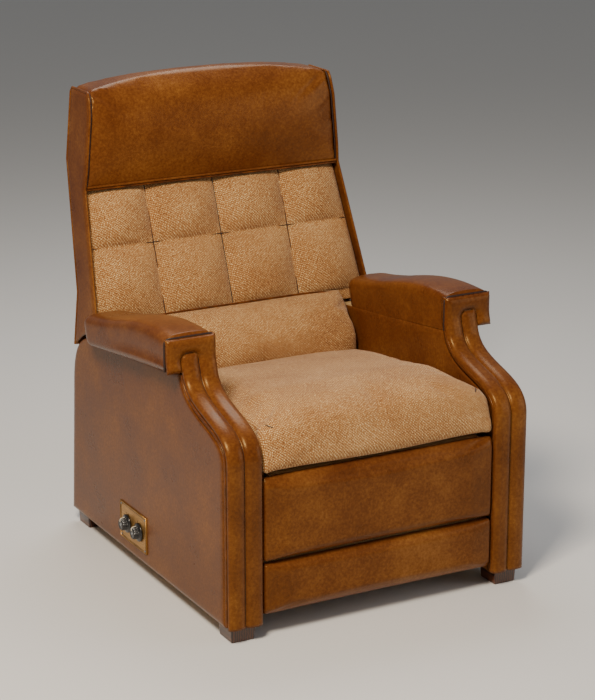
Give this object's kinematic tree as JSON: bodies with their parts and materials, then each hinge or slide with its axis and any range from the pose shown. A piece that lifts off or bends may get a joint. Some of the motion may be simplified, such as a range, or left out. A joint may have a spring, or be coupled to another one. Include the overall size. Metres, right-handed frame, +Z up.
{
  "type": "recliner armchair",
  "caption": "Push-back recliner armchair with a vinyl shell, tweed cushions, a legrest that lifts as the back leans, and side knobs.",
  "frame": {"origin": "centre of the chair's footprint box, on the floor", "axes": "+Z up, the chair faces -Y, +X toward the sitter's left"},
  "size_m": [0.832, 0.924, 1.1],
  "materials": {
    "brown_vinyl": "semi-gloss cognac vinyl with a fine leather grain",
    "tan_tweed": "tan and beige tweed weave",
    "stained_wood": "dark stained and lacquered hardwood",
    "frame_wood": "sawn softwood and plywood",
    "zinc_steel": "zinc plated sheet steel",
    "spring_wire": "bare spring steel wire",
    "deck_cloth": "undyed deck cloth over felt",
    "black_cloth": "thin black dust cloth",
    "nylon": "natural nylon",
    "gilt_plate": "satin gilt aluminium or brass plate",
    "motor_housing": "grey hammered enamel",
    "black_plastic": "moulded black phenolic"
  },
  "bodies": {
    "base": {"right_outer_panel": "brown_vinyl", "left_outer_panel": "brown_vinyl", "right_inner_panel": "brown_vinyl", "left_inner_panel": "brown_vinyl", "right_arm_frame": "frame_wood", "left_arm_frame": "frame_wood", "right_front_roll": "brown_vinyl", "left_front_roll": "brown_vinyl", "right_arm_pad": "brown_vinyl", "left_arm_pad": "brown_vinyl", "right_pad_cap": "brown_vinyl", "left_pad_cap": "brown_vinyl", "front_right_foot": "stained_wood", "front_left_foot": "stained_wood", "rear_right_foot": "stained_wood", "rear_left_foot": "stained_wood", "base_front_rail": "frame_wood", "base_rear_rail": "frame_wood", "rear_panel": "brown_vinyl", "seat_tracks": "zinc_steel", "recline_brackets": "zinc_steel", "recline_bolts": "zinc_steel", "control_plate": "gilt_plate", "control_box": "zinc_steel", "plate_screws": "zinc_steel", "power_inlet": "black_plastic"},
    "seat": {"seat_side_rails": "frame_wood", "seat_cross_rails": "frame_wood", "seat_springs": "spring_wire", "seat_deck": "deck_cloth", "seat_cushion": "tan_tweed", "seat_glides": "nylon", "legrest_ears": "zinc_steel", "legrest_pins": "zinc_steel", "drive_brackets": "zinc_steel", "motor_bracket": "zinc_steel", "massage_motor": "motor_housing"},
    "back": {"back_posts": "frame_wood", "back_rails": "frame_wood", "back_springs": "spring_wire", "back_cushion": "tan_tweed", "headrest_cushion": "brown_vinyl", "lumbar_cushion": "tan_tweed", "outside_back": "brown_vinyl", "right_back_side": "brown_vinyl", "left_back_side": "brown_vinyl", "recline_levers": "zinc_steel", "lever_pins": "zinc_steel"},
    "legrest": {"legrest_board": "frame_wood", "legrest_upper_pad": "brown_vinyl", "legrest_lower_pad": "brown_vinyl", "legrest_back_cover": "black_cloth", "legrest_cranks": "zinc_steel", "crank_pins": "zinc_steel"},
    "push_rods": {"push_rods": "zinc_steel"},
    "front_control": {"front_knob": "black_plastic", "front_spindle": "zinc_steel"},
    "rear_control": {"rear_knob": "black_plastic", "rear_spindle": "zinc_steel"}
  },
  "joints": [
    {"name": "back_recline", "type": "hinge", "parent": "base", "child": "back", "pos_m": [0, 0.265, 0.42], "axis": [-1, 0, 0], "range_deg": [0, 28]},
    {"name": "seat_glide", "type": "slide", "parent": "base", "child": "seat", "axis": [0, -1, 0], "range_m": [0, 0.0535]},
    {"name": "legrest_lift", "type": "hinge", "parent": "seat", "child": "legrest", "pos_m": [0, -0.431, 0.348], "axis": [-1, 0, 0], "range_deg": [0, 80.5]},
    {"name": "push_rod_swing", "type": "hinge", "parent": "back", "child": "push_rods", "pos_m": [0, 0.273, 0.204], "axis": [-1, 0, 0], "range_deg": [-29.5, 0]},
    {"name": "front_knob_turn", "type": "hinge", "parent": "base", "child": "front_control", "pos_m": [-0.38, -0.008, 0.108], "axis": [-1, 0, 0], "range_deg": [0, 270]},
    {"name": "rear_knob_turn", "type": "hinge", "parent": "base", "child": "rear_control", "pos_m": [-0.38, 0.056, 0.108], "axis": [-1, 0, 0], "range_deg": [0, 270]}
  ],
  "couplings": [
    {"joint": "seat_glide", "follows": "back_recline", "m_per_rad": 0.10845},
    {"joint": "legrest_lift", "follows": "back_recline", "ratio": 2.8571},
    {"joint": "push_rod_swing", "follows": "back_recline", "ratio": -1.041}
  ]
}
